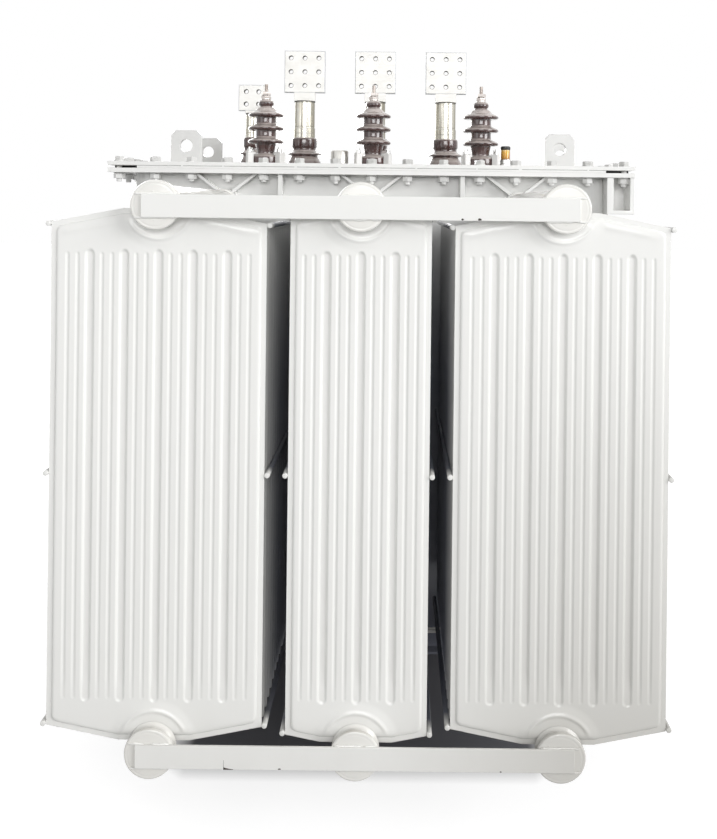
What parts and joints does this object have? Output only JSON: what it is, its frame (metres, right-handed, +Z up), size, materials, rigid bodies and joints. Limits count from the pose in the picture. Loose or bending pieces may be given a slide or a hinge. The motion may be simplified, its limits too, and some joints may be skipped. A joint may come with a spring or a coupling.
{
  "type": "oil-filled rectifier transformer",
  "caption": "Oil-filled rectifier transformer: steel tank with bolted lid, brown bushings and flag terminals on top, and pressed-panel radiators along both long sides.",
  "frame": {"origin": "on the floor under the middle of the tank", "axes": "+X along the tank to the right, front radiators towards -Y, +Z up"},
  "size_m": [1.614, 2.436, 1.96],
  "materials": {
    "tank_paint": "gloss light grey paint",
    "radiator_paint": "gloss off-white paint",
    "gasket_rubber": "matt black rubber",
    "brown_porcelain": "gloss brown glazed porcelain",
    "stud_brass": "plain brass",
    "terminal_metal": "tin-plated, satin",
    "plated_metal": "plated, satin",
    "amber_glass": "amber oil behind clear glass",
    "black_plastic": "black moulded cap"
  },
  "bodies": {
    "root": {"base_skids": "tank_paint", "tank_floor": "tank_paint", "tank_walls": "tank_paint", "tank_flange": "tank_paint", "tank_ribs": "tank_paint", "side_bracket": "tank_paint", "gasket": "gasket_rubber", "edge_strips": "tank_paint", "lid": "tank_paint", "lifting_lugs": "tank_paint", "hv_porcelain_1": "brown_porcelain", "hv_porcelain_2": "brown_porcelain", "hv_porcelain_3": "brown_porcelain", "hv_stud_1": "stud_brass", "hv_stud_2": "stud_brass", "hv_stud_3": "stud_brass", "hv_clamps": "plated_metal", "lv_porcelain_1": "brown_porcelain", "lv_porcelain_2": "brown_porcelain", "lv_porcelain_3": "brown_porcelain", "lv_porcelain_4": "brown_porcelain", "lv_terminal_1": "terminal_metal", "lv_terminal_2": "terminal_metal", "lv_terminal_3": "terminal_metal", "lv_terminal_4": "terminal_metal", "filler_cap": "plated_metal", "sight_base": "plated_metal", "sight_glass": "amber_glass", "sight_cap": "black_plastic", "front_left_panels": "radiator_paint", "front_mid_panels": "radiator_paint", "front_right_panels": "radiator_paint", "rear_left_panels": "radiator_paint", "rear_mid_panels": "radiator_paint", "rear_right_panels": "radiator_paint", "front_left_headers": "radiator_paint", "front_mid_headers": "radiator_paint", "front_right_headers": "radiator_paint", "rear_left_headers": "radiator_paint", "rear_mid_headers": "radiator_paint", "rear_right_headers": "radiator_paint", "front_stubs": "radiator_paint", "rear_stubs": "radiator_paint", "front_tie_rods": "radiator_paint", "rear_tie_rods": "radiator_paint", "front_brace_bars": "radiator_paint", "rear_brace_bars": "radiator_paint"}
  },
  "joints": []
}
